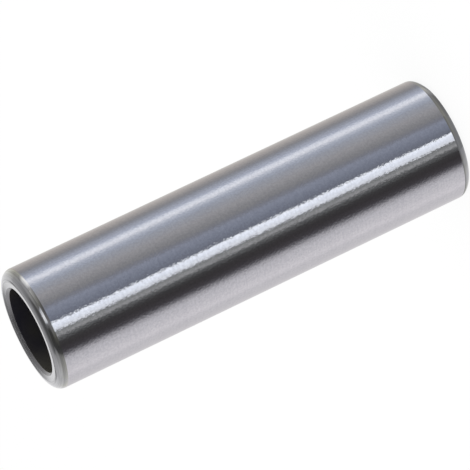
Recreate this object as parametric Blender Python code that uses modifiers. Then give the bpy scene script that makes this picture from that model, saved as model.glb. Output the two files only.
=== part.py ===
"""Gudgeon pin: the hollow hardened steel pin that joins a piston to the small end of its connecting rod.

It stands on one end, with the origin in the middle of its lower face and its axis along Z.
Run it with blender --background --python part.py, or from the text editor.
"""

import math

import bpy

# Driving dimensions, in metres
OUTER_DIAMETER = 0.0200
WALL_THICKNESS = 0.0030
LENGTH = 0.0730
CORNER_RADIUS = 0.0016
BORE_CHAMFER = 0.00045

# The corner radius is turned before the outside is ground, so it meets the ground
# surface at this small angle instead of running into it smoothly.
CORNER_BREAK = math.radians(6.0)

# Fineness of the mesh
TURN_STEPS = 96
CORNER_SEGMENTS = 8
MERGE_DISTANCE = 0.00001
SHARP_EDGE_ANGLE = math.radians(30.0)

# Ground and polished steel
STEEL_COLOUR = (0.56, 0.57, 0.58, 1.0)
STEEL_ROUGHNESS = 0.18


def clear_scene():
    """Remove every object, so that only the pin is left."""
    for item in list(bpy.data.objects):
        bpy.data.objects.remove(item, do_unlink=True)


def make_collection(name):
    """Add a collection to the scene for the object's parts."""
    collection = bpy.data.collections.new(name)
    bpy.context.scene.collection.children.link(collection)
    return collection


def make_steel():
    """Bright, slightly soft metal, as left by grinding and polishing."""
    steel = bpy.data.materials.new("ground_steel")
    steel.use_nodes = True
    surface = steel.node_tree.nodes["Principled BSDF"]
    surface.inputs["Base Color"].default_value = STEEL_COLOUR
    surface.inputs["Metallic"].default_value = 1.0
    surface.inputs["Roughness"].default_value = STEEL_ROUGHNESS
    return steel


def corner_outline():
    """Points of one turned corner, as (radius, depth below the end face), from the face to the outside."""
    centre_radius = OUTER_DIAMETER / 2 - CORNER_RADIUS * math.cos(CORNER_BREAK)
    sweep = math.pi / 2 - CORNER_BREAK
    points = []
    for index in range(CORNER_SEGMENTS + 1):
        angle = sweep * index / CORNER_SEGMENTS
        radius = centre_radius + CORNER_RADIUS * math.sin(angle)
        depth = CORNER_RADIUS * (1.0 - math.cos(angle))
        points.append((radius, depth))
    return points


def pin_outline():
    """Closed section of the wall, as (radius, height): down the outside, then up through the bore."""
    bore_radius = OUTER_DIAMETER / 2 - WALL_THICKNESS
    corner = corner_outline()
    upper_corner = [(radius, LENGTH - depth) for radius, depth in corner]
    lower_corner = [(radius, depth) for radius, depth in reversed(corner)]
    lower_mouth = [(bore_radius + BORE_CHAMFER, 0.0), (bore_radius, BORE_CHAMFER)]
    upper_mouth = [(bore_radius, LENGTH - BORE_CHAMFER), (bore_radius + BORE_CHAMFER, LENGTH)]
    return upper_corner + lower_corner + lower_mouth + upper_mouth


def add_turned_piece(name, outline, material, collection):
    """Turn a closed outline about the Z axis into one solid with smooth sides and crisp edges."""
    count = len(outline)
    points = [(radius, 0.0, height) for radius, height in outline]
    edges = [(index, (index + 1) % count) for index in range(count)]
    section = bpy.data.meshes.new(name + "_section")
    section.from_pydata(points, edges, [])
    piece = bpy.data.objects.new(name, section)
    collection.objects.link(piece)

    turning = piece.modifiers.new("Turning", "SCREW")
    turning.axis = "Z"
    turning.angle = math.tau
    turning.screw_offset = 0.0
    turning.steps = TURN_STEPS
    turning.render_steps = TURN_STEPS
    turning.use_merge_vertices = True
    turning.merge_threshold = MERGE_DISTANCE

    graph = bpy.context.evaluated_depsgraph_get()
    turned = bpy.data.meshes.new_from_object(piece.evaluated_get(graph))
    turned.name = name
    turned.shade_smooth()
    turned.set_sharp_from_angle(angle=SHARP_EDGE_ANGLE)
    turned.materials.append(material)
    piece.modifiers.clear()
    piece.data = turned
    bpy.data.meshes.remove(section)
    return piece


clear_scene()
parts = make_collection("Gudgeon pin")
add_turned_piece("gudgeon_pin", pin_outline(), make_steel(), parts)
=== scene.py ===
import math

import bpy
from mathutils import Matrix, Vector


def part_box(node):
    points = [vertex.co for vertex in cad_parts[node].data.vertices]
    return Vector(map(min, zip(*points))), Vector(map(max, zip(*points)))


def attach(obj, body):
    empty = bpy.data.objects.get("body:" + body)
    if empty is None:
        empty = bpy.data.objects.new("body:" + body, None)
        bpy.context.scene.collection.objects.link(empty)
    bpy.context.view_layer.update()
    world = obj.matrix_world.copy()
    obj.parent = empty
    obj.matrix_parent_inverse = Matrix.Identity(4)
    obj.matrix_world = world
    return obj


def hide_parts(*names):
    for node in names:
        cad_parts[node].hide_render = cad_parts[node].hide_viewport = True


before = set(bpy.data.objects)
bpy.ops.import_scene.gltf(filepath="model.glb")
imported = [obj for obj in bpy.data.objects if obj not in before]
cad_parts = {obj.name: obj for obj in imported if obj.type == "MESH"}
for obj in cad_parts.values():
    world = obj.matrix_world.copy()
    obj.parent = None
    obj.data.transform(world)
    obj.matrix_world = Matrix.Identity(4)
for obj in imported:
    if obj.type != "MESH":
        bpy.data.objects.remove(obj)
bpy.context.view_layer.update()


# The gudgeon pin
# One tube of case-hardening steel. Its ends are turned with a rounded outer corner and a small
# chamfer at the bore. It is then hardened, which leaves the bore dark, and only the outside is
# ground and polished bright, because that is where it runs in the piston and the rod.

MM = 0.001
pin_low, pin_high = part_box("gudgeon_pin")
PIN_RADIUS = (pin_high.x - pin_low.x) / 2
PIN_LENGTH = pin_high.z - pin_low.z
PIN_WALL = 3.0 * MM
BORE_RADIUS = PIN_RADIUS - PIN_WALL
SOLID_CORNER_ROUND = 1.60 * MM
CORNER_ROUND = 1.58 * MM      # a little less than the solid's, so that it meets the dish smoothly
CORNER_BREAK = math.radians(6.0)
END_DISH = math.radians(4.5)
MOUTH_CHAMFER = 0.39 * MM
GROUND_EDGE_ROUND = 0.25 * MM
TURNED_EDGE_ROUND = 0.06 * MM
BORE_EDGE_ROUND = 0.12 * MM
BORE_SCALE_REACH = BORE_EDGE_ROUND / 8
CORNER_DEPTH = SOLID_CORNER_ROUND * (1.0 - math.sin(CORNER_BREAK))
TURN_STEPS = 384
ARC_STEP = math.radians(4.0)
GROUND, TURNED, MOUTH, BORE = range(4)


def rounded_outline(corners):
    """Points and outward normals along a closed outline, given as (radius, height, rounding)."""
    points = []
    for index, (radius, height, rounding) in enumerate(corners):
        here = Vector((radius, height))
        before = Vector(corners[index - 1][:2])
        after = Vector(corners[(index + 1) % len(corners)][:2])
        arriving = (here - before).normalized()
        leaving = (after - here).normalized()
        turn = arriving.angle_signed(leaving)
        first_normal = Vector((-arriving.y, arriving.x))
        start = here - arriving * rounding * math.tan(abs(turn) / 2)
        centre = start - first_normal * rounding
        segments = max(2, math.ceil(abs(turn) / ARC_STEP))
        for segment in range(segments + 1):
            normal = first_normal.copy()
            normal.rotate(Matrix.Rotation(-turn * segment / segments, 2))
            points.append((centre + normal * rounding, normal))
    return points


def finish_of(point):
    """Which of the four finishes a point of the outline has."""
    radius, height = point
    depth = min(height, PIN_LENGTH - height)
    if radius < BORE_RADIUS + BORE_SCALE_REACH:
        return BORE
    if radius < BORE_RADIUS + MOUTH_CHAMFER:
        return MOUTH
    if depth < CORNER_DEPTH:
        return TURNED
    return GROUND


def turn_mesh(name, outline):
    """Turn an outline about the Z axis into a mesh with exact smooth normals."""
    count = len(outline)
    places, normals, faces, finishes = [], [], [], []
    for point, normal in outline:
        for step in range(TURN_STEPS):
            angle = math.tau * step / TURN_STEPS
            across = Vector((math.cos(angle), math.sin(angle), 0.0))
            places.append(across * point.x + Vector((0.0, 0.0, point.y)))
            normals.append(across * normal.x + Vector((0.0, 0.0, normal.y)))
    for ring in range(count):
        following = (ring + 1) % count
        finish = finish_of((outline[ring][0] + outline[following][0]) / 2)
        for step in range(TURN_STEPS):
            beside = (step + 1) % TURN_STEPS
            faces.append((
                ring * TURN_STEPS + step,
                following * TURN_STEPS + step,
                following * TURN_STEPS + beside,
                ring * TURN_STEPS + beside,
            ))
            finishes.append(finish)
    mesh = bpy.data.meshes.new(name)
    mesh.from_pydata(places, [], faces)
    mesh.shade_smooth()
    mesh.polygons.foreach_set("material_index", finishes)
    mesh.normals_split_custom_set_from_vertices(normals)
    return mesh


def end_corners():
    """The rounded corner of the end and the mouth of the bore, as (radius, depth below the end).

    The end is dished a little towards the bore. The corner's arc touches both the dish and the
    side, and its highest point is level with the end.
    """
    dish_normal = Vector((-math.sin(END_DISH), math.cos(END_DISH)))
    side_normal = Vector((math.cos(CORNER_BREAK), math.sin(CORNER_BREAK)))
    arc_fall = CORNER_ROUND - CORNER_DEPTH
    arc_radius = PIN_RADIUS - (CORNER_ROUND - arc_fall * side_normal.y) / side_normal.x
    arc_centre = Vector((arc_radius, -CORNER_ROUND))
    reach = CORNER_ROUND / (1.0 + dish_normal.dot(side_normal))
    corner = arc_centre + (dish_normal + side_normal) * reach
    mouth = BORE_RADIUS + MOUTH_CHAMFER
    mouth_depth = (corner.x - mouth) * math.tan(END_DISH) - corner.y
    return (corner.x, -corner.y), (mouth, mouth_depth)


def pin_outline():
    """Closed section of the wall: down the outside, in under the lower end, and up the bore."""
    (shoulder, shoulder_depth), (mouth, mouth_depth) = end_corners()
    top = PIN_LENGTH
    return rounded_outline([
        (mouth, top - mouth_depth, TURNED_EDGE_ROUND),
        (shoulder, top - shoulder_depth, CORNER_ROUND),
        (PIN_RADIUS, top - CORNER_DEPTH, GROUND_EDGE_ROUND),
        (PIN_RADIUS, CORNER_DEPTH, GROUND_EDGE_ROUND),
        (shoulder, shoulder_depth, CORNER_ROUND),
        (mouth, mouth_depth, TURNED_EDGE_ROUND),
        (BORE_RADIUS, mouth_depth + MOUTH_CHAMFER, BORE_EDGE_ROUND),
        (BORE_RADIUS, top - mouth_depth - MOUTH_CHAMFER, BORE_EDGE_ROUND),
    ])


def linear(hex_colour):
    """Linear RGBA of an sRGB colour written as #RRGGBB."""
    channels = []
    for start in (1, 3, 5):
        value = int(hex_colour[start:start + 2], 16) / 255
        if value <= 0.04045:
            channels.append(value / 12.92)
        else:
            channels.append(((value + 0.055) / 1.055) ** 2.4)
    return (*channels, 1.0)


def add_node(tree, kind, attributes=None, values=None, links=None):
    """Add a node, set its attributes and input values, and link its inputs."""
    node = tree.nodes.new(kind)
    for name, value in (attributes or {}).items():
        setattr(node, name, value)
    for socket, value in (values or {}).items():
        node.inputs[socket].default_value = value
    for socket, source in (links or {}).items():
        tree.links.new(source, node.inputs[socket])
    return node


def new_material(name):
    """A new material with an empty node tree and its output node."""
    material = bpy.data.materials.new(name)
    material.use_nodes = True
    material.node_tree.nodes.clear()
    output = add_node(material.node_tree, "ShaderNodeOutputMaterial")
    return material, material.node_tree, output


# Steel ground between wheels and then superfinished. To the eye it is nearly a mirror, with a
# faint haze, fine rings round the pin and a slight mottle, so lights in it have ragged edges.
GROUND_STEEL = "#CDCDCF"
GROUND_STEEL_WORN = "#C2C2C5"
GROUND_POLISHED = 0.057
GROUND_HAZY = 0.085
GRINDING_RING = 0.35 * MM     # the real rings are about 0.02 mm apart and wouldn't show
GRINDING_DEPTH = 0.0010 * MM
GRINDING_RUN = 40 * MM        # how far a ring runs before it changes
MOTTLE_SIZE = 0.36 * MM
MOTTLE_DEPTH = 0.0145 * MM
MOTTLE_SHARE = 0.7
CHATTER_LENGTH = 1.1 * MM
CHATTER_WIDTH = 4.0 * MM
CHATTER_DEPTH = 0.012 * MM
NOISE_LOW = 0.36              # nearly all of a noise texture lies between these two
NOISE_HIGH = 0.64


def stretched_noise(tree, place, sizes, detail):
    """Noise whose grains have the given sizes along X, Y and Z."""
    sized = add_node(
        tree, "ShaderNodeMapping",
        values={"Scale": tuple(1 / size for size in sizes)},
        links={"Vector": place},
    )
    noise = add_node(
        tree, "ShaderNodeTexNoise",
        values={"Scale": 1.0, "Detail": detail, "Roughness": 0.6},
        links={"Vector": sized.outputs["Vector"]},
    )
    return noise.outputs["Fac"]


def spread(tree, noise, low=0.0, high=1.0):
    """Spread the range that nearly all of a noise lies in, so that it goes from low to high."""
    share = add_node(
        tree, "ShaderNodeMapRange",
        values={"From Min": NOISE_LOW, "From Max": NOISE_HIGH, "To Min": low, "To Max": high},
        links={"Value": noise},
    )
    return share.outputs["Result"]


def ground_polished_steel():
    """Case-hardened steel, ground and superfinished."""
    material, tree, output = new_material("ground_polished_steel")
    place = add_node(tree, "ShaderNodeTexCoord").outputs["Object"]
    rings = stretched_noise(tree, place, (GRINDING_RUN, GRINDING_RUN, GRINDING_RING), 3.0)
    mottle = stretched_noise(tree, place, (MOTTLE_SIZE, MOTTLE_SIZE, MOTTLE_SIZE), 2.0)
    chatter = stretched_noise(tree, place, (CHATTER_WIDTH, CHATTER_WIDTH, CHATTER_LENGTH), 2.0)
    ring_bump = add_node(
        tree, "ShaderNodeBump",
        values={"Strength": 1.0, "Distance": GRINDING_DEPTH},
        links={"Height": rings},
    )
    mottle_bump = add_node(
        tree, "ShaderNodeBump",
        values={"Strength": 1.0, "Distance": MOTTLE_DEPTH},
        links={"Height": mottle, "Normal": ring_bump.outputs["Normal"]},
    )
    bump = add_node(
        tree, "ShaderNodeBump",
        values={"Strength": 1.0, "Distance": CHATTER_DEPTH},
        links={"Height": chatter, "Normal": mottle_bump.outputs["Normal"]},
    )
    together = add_node(
        tree, "ShaderNodeMix",
        values={"Factor": MOTTLE_SHARE},
        links={"A": rings, "B": mottle},
    )
    tone = add_node(
        tree, "ShaderNodeMix",
        attributes={"data_type": "RGBA"},
        values={"A": linear(GROUND_STEEL), "B": linear(GROUND_STEEL_WORN)},
        links={"Factor": spread(tree, together.outputs["Result"])},
    )
    shader = add_node(
        tree, "ShaderNodeBsdfPrincipled",
        values={"Metallic": 1.0},
        links={
            "Base Color": tone.outputs["Result"],
            "Roughness": spread(tree, mottle, GROUND_POLISHED, GROUND_HAZY),
            "Normal": bump.outputs["Normal"],
        },
    )
    tree.links.new(shader.outputs["BSDF"], output.inputs["Surface"])
    return material


# Steel turned in a lathe before hardening, and brushed clean. To the eye it is satin, with rings
# from the tool, and patches of a faint olive film left by the hardening near the ground side.
TURNED_STEEL = "#DCDCE0"
TURNED_STEEL_FILM = "#DBDACF"
TURNED_RING = "#D8D8D8"
FILM_PATCH = 4.0 * MM
FILM_FROM = 0.2 * MM
FILM_TO = 1.1 * MM
TURNED_ROUGHNESS = 0.12
FEED_MARK = 0.25 * MM         # the real feed is about 0.05 mm and wouldn't show
FEED_DEPTH = 0.0009 * MM


def turned_brushed_steel():
    """Steel as turned, with rings round the axis."""
    material, tree, output = new_material("turned_brushed_steel")
    place = add_node(tree, "ShaderNodeTexCoord")
    along = add_node(
        tree, "ShaderNodeSeparateXYZ",
        links={"Vector": place.outputs["Object"]},
    )
    flat = add_node(
        tree, "ShaderNodeVectorMath",
        attributes={"operation": "MULTIPLY"},
        values={1: (1.0, 1.0, 0.0)},
        links={0: place.outputs["Object"]},
    )
    across = add_node(
        tree, "ShaderNodeVectorMath",
        attributes={"operation": "LENGTH"},
        links={0: flat.outputs["Vector"]},
    )
    section = add_node(
        tree, "ShaderNodeCombineXYZ",
        links={"X": across.outputs["Value"], "Y": along.outputs["Z"]},
    )
    marks = add_node(
        tree, "ShaderNodeTexNoise",
        values={"Scale": 1 / FEED_MARK, "Detail": 3.0, "Roughness": 0.6},
        links={"Vector": section.outputs["Vector"]},
    )
    film = add_node(
        tree, "ShaderNodeTexNoise",
        values={"Scale": 1 / FILM_PATCH, "Detail": 2.0, "Roughness": 0.5},
        links={"Vector": place.outputs["Object"]},
    )
    from_middle = add_node(
        tree, "ShaderNodeMath",
        attributes={"operation": "SUBTRACT"},
        values={1: PIN_LENGTH / 2},
        links={0: along.outputs["Z"]},
    )
    end_distance = add_node(
        tree, "ShaderNodeMath",
        attributes={"operation": "ABSOLUTE"},
        links={0: from_middle.outputs["Value"]},
    )
    film_share = add_node(
        tree, "ShaderNodeMapRange",
        values={"From Min": PIN_LENGTH / 2 - FILM_FROM, "From Max": PIN_LENGTH / 2 - FILM_TO},
        links={
            "Value": end_distance.outputs["Value"],
            "To Max": spread(tree, film.outputs["Fac"]),
        },
    )
    bump = add_node(
        tree, "ShaderNodeBump",
        values={"Strength": 1.0, "Distance": FEED_DEPTH},
        links={"Height": marks.outputs["Fac"]},
    )
    tone = add_node(
        tree, "ShaderNodeMix",
        attributes={"data_type": "RGBA"},
        values={"A": linear(TURNED_STEEL), "B": linear(TURNED_STEEL_FILM)},
        links={"Factor": film_share.outputs["Result"]},
    )
    ringed = add_node(
        tree, "ShaderNodeMix",
        attributes={"data_type": "RGBA", "blend_type": "MULTIPLY"},
        values={"B": linear(TURNED_RING)},
        links={"Factor": spread(tree, marks.outputs["Fac"]), "A": tone.outputs["Result"]},
    )
    shader = add_node(
        tree, "ShaderNodeBsdfPrincipled",
        values={"Metallic": 1.0, "Roughness": TURNED_ROUGHNESS},
        links={"Base Color": ringed.outputs["Result"], "Normal": bump.outputs["Normal"]},
    )
    tree.links.new(shader.outputs["BSDF"], output.inputs["Surface"])
    return material


# The chamfer at the mouth of the bore, cut before hardening and not brushed since. To the eye it
# is a soft grey, between the bright end and the black bore.
MOUTH_GREY = "#A1A0A3"
MOUTH_METALLIC = 0.88
MOUTH_ROUGHNESS = 0.24


def scaled_mouth_steel():
    """Steel with a thin grey scale at the mouth of the bore."""
    material, tree, output = new_material("scaled_mouth_steel")
    shader = add_node(
        tree, "ShaderNodeBsdfPrincipled",
        values={
            "Base Color": linear(MOUTH_GREY),
            "Metallic": MOUTH_METALLIC,
            "Roughness": MOUTH_ROUGHNESS,
        },
    )
    tree.links.new(shader.outputs["BSDF"], output.inputs["Surface"])
    return material


# The bore as it comes from hardening: a thin grey-black scale with olive patches, which to the
# eye is almost black and has a dull sheen, with faint lines along it from drawing the tube. One
# side of the bore is painted greyer. This is painted light for the light that this side catches
# through the mouth.
SCALE_BLACK = "#3E3D48"
SCALE_OLIVE = "#524F48"
# Painted light: the grey that one side of the bore is painted with, for the light it catches
# through the mouth. It runs between the next two distances along -X.
BORE_PAINTED_LIGHT = "#747269"
PAINTED_LIGHT_FROM = -0.35 * BORE_RADIUS
PAINTED_LIGHT_TO = -BORE_RADIUS
SCALE_ROUGHNESS = 0.48
SCALE_METALLIC = 0.6
SCALE_PATCH = 7.0 * MM
DRAWN_LINE = 0.5 * MM
DRAWN_LENGTH = 30.0 * MM
DRAWN_DEPTH = 0.004 * MM


def hardened_scale():
    """Dark scale on the unground bore, with painted light along one side."""
    material, tree, output = new_material("hardened_scale")
    place = add_node(tree, "ShaderNodeTexCoord").outputs["Object"]
    lines = stretched_noise(tree, place, (DRAWN_LINE, DRAWN_LINE, DRAWN_LENGTH), 3.0)
    patches = stretched_noise(tree, place, (SCALE_PATCH, SCALE_PATCH, SCALE_PATCH), 3.0)
    bump = add_node(
        tree, "ShaderNodeBump",
        values={"Strength": 1.0, "Distance": DRAWN_DEPTH},
        links={"Height": lines},
    )
    tone = add_node(
        tree, "ShaderNodeMix",
        attributes={"data_type": "RGBA"},
        values={"A": linear(SCALE_BLACK), "B": linear(SCALE_OLIVE)},
        links={"Factor": spread(tree, patches)},
    )
    across = add_node(tree, "ShaderNodeSeparateXYZ", links={"Vector": place})
    # Painted light: the bore is painted greyer towards -X, for the light that side catches through
    # the mouth.
    painted_light_share = add_node(
        tree, "ShaderNodeMapRange",
        values={"From Min": PAINTED_LIGHT_FROM, "From Max": PAINTED_LIGHT_TO},
        links={"Value": across.outputs["X"]},
    )
    scale = add_node(
        tree, "ShaderNodeMix",
        attributes={"data_type": "RGBA"},
        values={"B": linear(BORE_PAINTED_LIGHT)},
        links={"Factor": painted_light_share.outputs["Result"], "A": tone.outputs["Result"]},
    )
    shader = add_node(
        tree, "ShaderNodeBsdfPrincipled",
        values={"Metallic": SCALE_METALLIC, "Roughness": SCALE_ROUGHNESS},
        links={"Base Color": scale.outputs["Result"], "Normal": bump.outputs["Normal"]},
    )
    tree.links.new(shader.outputs["BSDF"], output.inputs["Surface"])
    return material


# The materials come in the order of the finishes GROUND, TURNED, MOUTH and BORE.
pin_mesh = turn_mesh("pin", pin_outline())
for finish in (
    ground_polished_steel, turned_brushed_steel, scaled_mouth_steel, hardened_scale,
):
    pin_mesh.materials.append(finish())
pin = bpy.data.objects.new("pin", pin_mesh)
bpy.context.scene.collection.objects.link(pin)
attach(pin, "root")
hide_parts("gudgeon_pin")


# The floor
# A plain white studio table. To the camera and in the metal it is white, and it takes a part of
# its light from the lamps, so that it keeps the pin's shadow.

FLOOR_SIZE = 6.0
FLOOR_WHITE = "#FFFFFF"
FLOOR_GLOW = 0.91


def seen_directly(tree):
    """1 where the camera, metal or glass sees a surface, and 0 where it only lights the rest."""
    rays = add_node(tree, "ShaderNodeLightPath")
    camera_or_gloss = add_node(
        tree, "ShaderNodeMath",
        attributes={"operation": "MAXIMUM"},
        links={0: rays.outputs["Is Camera Ray"], 1: rays.outputs["Is Glossy Ray"]},
    )
    any_of_them = add_node(
        tree, "ShaderNodeMath",
        attributes={"operation": "MAXIMUM"},
        links={0: camera_or_gloss.outputs["Value"], 1: rays.outputs["Is Transmission Ray"]},
    )
    return any_of_them.outputs["Value"]


def white_table():
    """White paper that shows as white to the camera and keeps a faint shadow."""
    material, tree, output = new_material("white_table")
    paper = add_node(
        tree, "ShaderNodeBsdfDiffuse",
        values={"Color": linear(FLOOR_WHITE)},
    )
    glow = add_node(
        tree, "ShaderNodeEmission",
        values={"Color": linear(FLOOR_WHITE), "Strength": 1.0},
    )
    share = add_node(
        tree, "ShaderNodeMath",
        attributes={"operation": "MULTIPLY"},
        values={1: FLOOR_GLOW},
        links={0: seen_directly(tree)},
    )
    mix = add_node(
        tree, "ShaderNodeMixShader",
        links={0: share.outputs["Value"], 1: paper.outputs["BSDF"], 2: glow.outputs["Emission"]},
    )
    tree.links.new(mix.outputs["Shader"], output.inputs["Surface"])
    return material


half = FLOOR_SIZE / 2
floor_mesh = bpy.data.meshes.new("floor")
floor_mesh.from_pydata(
    [(-half, -half, 0.0), (half, -half, 0.0), (half, half, 0.0), (-half, half, 0.0)],
    [],
    [(0, 1, 2, 3)],
)
floor_mesh.materials.append(white_table())
floor = bpy.data.objects.new("floor", floor_mesh)
bpy.context.scene.collection.objects.link(floor)


# The studio cards
# Grey, white and black cards, which only the metal sees, lie on the table round the pin and stand
# in a ring round it, as in a product studio. Each lies fan-wise from the pin, so that it shows in
# the ground side as one straight band. Angles are degrees from the camera's side, towards -X.

CARD_REACH = 260 * MM
CARD_LIFT = 0.2 * MM
FOOT_TUCK = 2 * MM            # how far the cards at the foot reach in under the pin's side
FOOT_REACH = 2.6 * MM
UPTURN_HEIGHT = 45 * MM
LOW_HEIGHT = 210 * MM
HIGH_HEIGHT = 520 * MM
CARD_STEP = 1.5

AT_FOOT = ((-FOOT_TUCK, CARD_LIFT), (FOOT_REACH, CARD_LIFT))
LIES = ((FOOT_REACH, CARD_LIFT), (CARD_REACH, CARD_LIFT), (CARD_REACH, UPTURN_HEIGHT))
STANDS_LOW = ((CARD_REACH, UPTURN_HEIGHT), (CARD_REACH, LOW_HEIGHT))
STANDS_HIGH = ((CARD_REACH, LOW_HEIGHT), (CARD_REACH, HIGH_HEIGHT))


def towards(degrees):
    """Level direction at an angle from the camera's side."""
    angle = math.radians(degrees)
    return Vector((-math.sin(angle), -math.cos(angle), 0.0))


def glowing_card(name, stops, strength, top):
    """A card lit from behind: its colours run across it, and top is how bright its top edge is."""
    material, tree, output = new_material(name)
    place = add_node(tree, "ShaderNodeTexCoord")
    share = add_node(
        tree, "ShaderNodeSeparateXYZ",
        links={"Vector": place.outputs["UV"]},
    )
    ramp = add_node(tree, "ShaderNodeValToRGB", links={"Fac": share.outputs["X"]})
    elements = ramp.color_ramp.elements
    while len(elements) < len(stops):
        elements.new(0.5)
    first, last = stops[0][0], stops[-1][0]
    for element, (stop, colour) in zip(elements, stops):
        element.position = (stop - first) / (last - first)
        element.color = linear(colour)
    brightness = add_node(
        tree, "ShaderNodeMapRange",
        values={"To Min": strength, "To Max": strength * top},
        links={"Value": share.outputs["Y"]},
    )
    glow = add_node(
        tree, "ShaderNodeEmission",
        links={"Color": ramp.outputs["Color"], "Strength": brightness.outputs["Result"]},
    )
    tree.links.new(glow.outputs["Emission"], output.inputs["Surface"])
    return material


def hang_card(name, places, faces, shares, stops, strength=1.0, top=1.0):
    """Make a card of the given points, each with its share across and its share up the card."""
    mesh = bpy.data.meshes.new(name)
    mesh.from_pydata(places, [], faces)
    layer = mesh.uv_layers.new(name="across")
    for loop in mesh.loops:
        layer.data[loop.index].uv = shares[loop.vertex_index]
    mesh.materials.append(glowing_card(name, stops, strength, top))
    card = bpy.data.objects.new(name, mesh)
    bpy.context.scene.collection.objects.link(card)
    card.visible_camera = False
    card.visible_diffuse = False
    card.visible_transmission = False
    card.visible_shadow = False


def fan_card(name, path, rays, stops, strength=1.0, top=1.0):
    """Make a card along rays, each a foot and a direction, by a path of (distance, height)."""
    columns, rows = len(rays), len(path)
    places, faces, shares = [], [], []
    for column, (foot, direction) in enumerate(rays):
        for row, (distance, height) in enumerate(path):
            places.append(foot + direction * distance + Vector((0.0, 0.0, height)))
            shares.append((column / (columns - 1), row / (rows - 1)))
    for column in range(columns - 1):
        for row in range(rows - 1):
            corner = column * rows + row
            faces.append((corner, corner + 1, corner + rows + 1, corner + rows))
    hang_card(name, places, faces, shares, stops, strength, top)


def fan_angles(start, end):
    """Even angles from the first to the last."""
    columns = max(2, math.ceil(abs(end - start) / CARD_STEP))
    return [start + (end - start) * column / columns for column in range(columns + 1)]


def lay_card(name, path, stops, strength=1.0, top=1.0):
    """Add a card on the table that fans out from the part of the pin's side that shows it."""
    angles = fan_angles(stops[0][0], stops[-1][0])
    rays = [(towards(angle / 2) * PIN_RADIUS, towards(angle)) for angle in angles]
    fan_card(name, path, rays, stops, strength, top)


def stand_card(name, path, stops, strength=1.0, top=1.0):
    """Add a card that stands on a circle round the pin."""
    angles = fan_angles(stops[0][0], stops[-1][0])
    rays = [(Vector((0.0, 0.0, 0.0)), towards(angle)) for angle in angles]
    fan_card(name, path, rays, stops, strength, top)


lay_card("strip_light", LIES,
         [(3.2, "#F8FCFF"), (6.0, "#E9EEF9"), (11.0, "#DCE1EA"), (18.6, "#CFD1D6")],
         strength=1.65)
lay_card("lamp_frame", LIES,
         [(18.6, "#868788"), (22.0, "#9A9C9C"), (27.5, "#B9B9BA"), (31.0, "#6E6F70")])
lay_card("black_flag", LIES,
         [(31.0, "#6E6F70"), (34.8, "#6A6B6C"), (38.0, "#4B4A4B"), (48.0, "#444143"),
          (58.0, "#4F4C50"), (62.0, "#68666B"), (66.0, "#939196")])
lay_card("white_card", LIES,
         [(66.0, "#939196"), (72.0, "#CCCACF"), (80.0, "#E5E3E8"), (111.0, "#FDF9FD"),
          (121.0, "#EEEBEF"), (180.0, "#E0DDDF")])
lay_card("blue_card", LIES,
         [(3.2, "#808491"), (-8.0, "#9197A7"), (-21.0, "#A4AABB"), (-27.0, "#9496A0")])
lay_card("grey_card", LIES,
         [(-27.0, "#9496A0"), (-34.0, "#9D9DA0"), (-50.0, "#B8B7BA"), (-65.0, "#BBBFC9"),
          (-72.0, "#C2C9D8")])
lay_card("window", LIES,
         [(-72.0, "#B0B6C3"), (-79.0, "#CACFDB"), (-85.0, "#F6F8FF"), (-91.0, "#F1F5FF"),
          (-97.5, "#BEC4D4"), (-114.0, "#979AA2")], strength=1.25)
lay_card("brown_card", LIES,
         [(-114.0, "#A8ABB4"), (-121.0, "#A5A4A7"), (-137.0, "#C3BEBB"), (-150.0, "#D0CAC6"),
          (-180.0, "#E2E0DD")])

# Straight behind the pin a strip as wide as the pin joins the two sides' cards.
fan_card("card_behind", LIES,
         [(towards(angle) * PIN_RADIUS, towards(180.0)) for angle in fan_angles(90.0, 270.0)],
         [(90.0, "#E0DDDF"), (270.0, "#E2E0DD")])

# Small cards round the foot are what the pin's lower edge shows.
lay_card("foot_left", AT_FOOT,
         [(-180.0, "#8C8C8C"), (-120.0, "#7C7C7D"), (-106.0, "#959595"), (-93.0, "#858585"),
          (-84.0, "#69696A"), (-60.0, "#69696A"), (-40.0, "#6E6E6F"), (-30.0, "#727273")],
         top=2.5)
lay_card("foot_front", AT_FOOT,
         [(-30.0, "#999A9B"), (0.0, "#97989A"), (40.0, "#979898")], top=0.72)
lay_card("foot_flag", AT_FOOT,
         [(40.0, "#C0C0C2"), (62.0, "#D4D4D6")], top=0.2)
lay_card("foot_right", AT_FOOT,
         [(62.0, "#D4D4D6"), (76.0, "#D8D8DA"), (90.0, "#F0F0F2"), (180.0, "#F8F8F8")],
         top=0.34)

stand_card("room_back_left", STANDS_LOW,
           [(-180.0, "#F8F8F7"), (-149.0, "#E2E2E0"), (-127.0, "#B6B6B5"), (-110.0, "#B8B8B7")],
           strength=1.08, top=0.7)
stand_card("room_window", STANDS_LOW,
           [(-110.0, "#949494"), (-97.0, "#FFFFFC"), (-81.0, "#FFFFFF"), (-71.0, "#B4B4B4")],
           strength=1.45, top=0.4)
stand_card("room_left", STANDS_LOW,
           [(-71.0, "#C0C0C0"), (-50.0, "#929292"), (-30.0, "#666667"), (-16.0, "#666667")],
           strength=0.6, top=2.4)
stand_card("room_front", STANDS_LOW,
           [(-16.0, "#6C6C6D"), (0.0, "#828286"), (16.0, "#7A7A7C"), (30.0, "#606061")],
           strength=0.8, top=1.5)
stand_card("room_flag", STANDS_LOW,
           [(30.0, "#5D5D5E"), (48.0, "#3F3F40"), (62.0, "#555556")])
stand_card("room_right", STANDS_LOW,
           [(62.0, "#7B7B7C"), (70.0, "#A0A0A0"), (90.0, "#BABABA"), (116.0, "#D4D4D4"),
            (145.0, "#E0E0E0"), (180.0, "#FFFFFF")], top=0.76)

# The strip light goes on up the front card, and fades.
STRIP_END_REACH = CARD_REACH - 2 * MM
STRIP_END_TOP = 105 * MM
stand_card("strip_end", ((STRIP_END_REACH, UPTURN_HEIGHT), (STRIP_END_REACH, STRIP_END_TOP)),
           [(3.0, "#F0F5FF"), (18.0, "#D0D3DA")], top=0.2)

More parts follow.
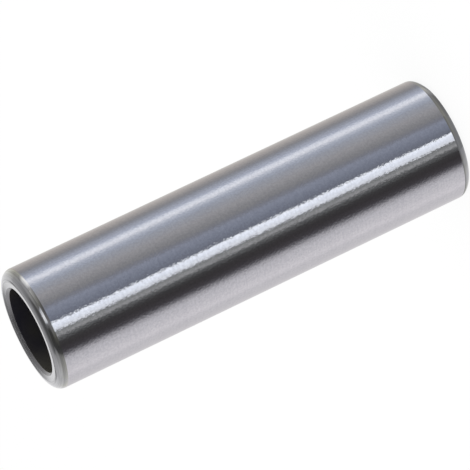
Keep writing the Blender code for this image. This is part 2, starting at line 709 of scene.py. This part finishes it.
stand_card("ceiling_left", STANDS_HIGH,
           [(-180.0, "#B8B8B8"), (-150.0, "#AEAEAE"), (-112.0, "#A0A0A0"), (-71.0, "#ACACAC"),
            (-50.0, "#8E8E8E"), (-30.0, "#747475")], top=0.6)
stand_card("ceiling_front", STANDS_HIGH,
           [(-30.0, "#747475"), (0.0, "#808080"), (14.0, "#606060")], top=0.8)
stand_card("ceiling_flag", STANDS_HIGH,
           [(14.0, "#505050"), (62.0, "#4B4B4B"), (70.0, "#949494")], top=0.5)
stand_card("ceiling_right", STANDS_HIGH,
           [(70.0, "#949494"), (90.0, "#AEAEAE"), (110.0, "#C2C2C2"), (130.0, "#D4D4D4"),
            (150.0, "#C6C6C6"), (180.0, "#B8B8B8")], top=0.6)

# A grey blind hangs in front of the white back wall. It darkens upwards through its hem and its
# fold, so the end face darkens from its near side to its far side, and its sides fade out.
BLIND_REACH = CARD_REACH - 3 * MM
BLIND_FOOT = 139 * MM
BLIND_HEM_TOP = 154 * MM
BLIND_FOLD_TOP = 172 * MM
BLIND_TOP = 194 * MM
BLIND_RIGHT = 171.5
BLIND_LEFT = 188.5
BLIND_RIGHT_END = 166.0
BLIND_LEFT_END = 194.0
BLIND_GREY = "#4A4A4A"
BLIND_SIDE_GREY = "#D0D0D0"
for name, low, high, grey, top in (
    ("blind_hem", BLIND_FOOT, BLIND_HEM_TOP, "#E4E4E4", 0.45),
    ("blind_fold", BLIND_HEM_TOP, BLIND_FOLD_TOP, "#8C8C8C", 0.36),
    ("blind", BLIND_FOLD_TOP, BLIND_TOP, BLIND_GREY, 3.0),
):
    stand_card(name, ((BLIND_REACH, low), (BLIND_REACH, high)),
               [(BLIND_RIGHT, grey), (BLIND_LEFT, grey)], top=top)
stand_card("blind_side_left", ((BLIND_REACH, BLIND_FOLD_TOP), (BLIND_REACH, BLIND_TOP)),
           [(BLIND_LEFT, BLIND_GREY), (BLIND_LEFT_END, BLIND_SIDE_GREY)])
stand_card("blind_side_right", ((BLIND_REACH, BLIND_FOLD_TOP), (BLIND_REACH, BLIND_TOP)),
           [(BLIND_RIGHT_END, BLIND_SIDE_GREY), (BLIND_RIGHT, BLIND_GREY)])

# A small lamp stands before the front cards, and the rounded corner shows it as a bright spot.
SMALL_LAMP_REACH = CARD_REACH - 5 * MM
SMALL_LAMP_FOOT = 196 * MM
SMALL_LAMP_TOP = 400 * MM
stand_card("small_lamp", ((SMALL_LAMP_REACH, SMALL_LAMP_FOOT), (SMALL_LAMP_REACH, SMALL_LAMP_TOP)),
           [(-33.0, "#A4A8B4"), (-15.0, "#FFFFFF"), (0.0, "#D8DCE4")], strength=1.35, top=0.9)


# The overhead card
# A dark card hangs over the pin, and the rounded corner at the top shows it as its dark crest.

OVERHEAD_HALF = 290 * MM

overhead_places = [
    Vector((side * OVERHEAD_HALF, depth * OVERHEAD_HALF, HIGH_HEIGHT))
    for depth in (-1, 1) for side in (-1, 1)
]
hang_card(
    "overhead_card", overhead_places, [(0, 1, 3, 2)],
    [((1 + depth) / 2, (1 + side) / 2) for depth in (-1, 1) for side in (-1, 1)],
    [(-OVERHEAD_HALF, "#585858"), (-31 * MM, "#585858"), (55 * MM, "#686868"),
     (145 * MM, "#888888"), (OVERHEAD_HALF, "#9C9C9C")],
)


# The lamp and the world
# One wide lamp overhead and an even white room give plain soft light. The metal doesn't see the
# lamp, because the cards make its reflections.

LAMP_SIZE = 0.8
LAMP_HEIGHT = 1.0
LAMP_POWER = 4.5
ROOM_WHITE = "#FFFFFF"
WORLD_LIGHT = 0.7

lamp_data = bpy.data.lights.new("overhead_lamp", "AREA")
lamp_data.shape = "DISK"
lamp_data.size = LAMP_SIZE
lamp_data.energy = LAMP_POWER
lamp = bpy.data.objects.new("overhead_lamp", lamp_data)
lamp.location = (0.0, 0.0, LAMP_HEIGHT)
lamp.visible_glossy = False
bpy.context.scene.collection.objects.link(lamp)

world = bpy.data.worlds.new("white_room")
world.use_nodes = True
world.node_tree.nodes.clear()
level = add_node(
    world.node_tree, "ShaderNodeMapRange",
    values={"To Min": WORLD_LIGHT, "To Max": 1.0},
    links={"Value": seen_directly(world.node_tree)},
)
sky = add_node(
    world.node_tree, "ShaderNodeBackground",
    values={"Color": linear(ROOM_WHITE)},
    links={"Strength": level.outputs["Result"]},
)
add_node(
    world.node_tree, "ShaderNodeOutputWorld",
    links={"Surface": sky.outputs["Background"]},
)
bpy.context.scene.world = world


# The camera
# It stands 16 degrees above the pin's middle and is rolled, so that the pin lies across the
# picture as in the photograph, with its upper, open end at the lower left.

CAMERA_RISE = math.radians(16.05)
CAMERA_ROLL = math.radians(25.48)
CAMERA_DISTANCE = 647.3 * MM
CAMERA_LENS = 321.6
SENSOR_WIDTH = 36.0
NEAREST_SEEN = 0.05
FARTHEST_SEEN = 20.0
AIM_ALONG = 0.452 * MM
AIM_ACROSS = -0.167 * MM

ahead = Vector((0.0, math.cos(CAMERA_RISE), -math.sin(CAMERA_RISE)))
down_pin = Vector((0.0, -math.sin(CAMERA_RISE), -math.cos(CAMERA_RISE)))
beside_pin = Vector((-1.0, 0.0, 0.0))
picture_right = math.cos(CAMERA_ROLL) * down_pin + math.sin(CAMERA_ROLL) * beside_pin
picture_down = -math.sin(CAMERA_ROLL) * down_pin + math.cos(CAMERA_ROLL) * beside_pin

camera_data = bpy.data.cameras.new("camera")
camera_data.lens = CAMERA_LENS
camera_data.sensor_width = SENSOR_WIDTH
camera_data.clip_start = NEAREST_SEEN
camera_data.clip_end = FARTHEST_SEEN
camera = bpy.data.objects.new("camera", camera_data)
pin_middle = Vector((0.0, 0.0, PIN_LENGTH / 2))
place = pin_middle - AIM_ALONG * down_pin - AIM_ACROSS * beside_pin - CAMERA_DISTANCE * ahead
turned = Matrix((picture_right, -picture_down, -ahead)).transposed().to_4x4()
camera.matrix_world = Matrix.Translation(place) @ turned
bpy.context.scene.collection.objects.link(camera)
bpy.context.scene.camera = camera
bpy.context.scene.view_settings.view_transform = "Standard"
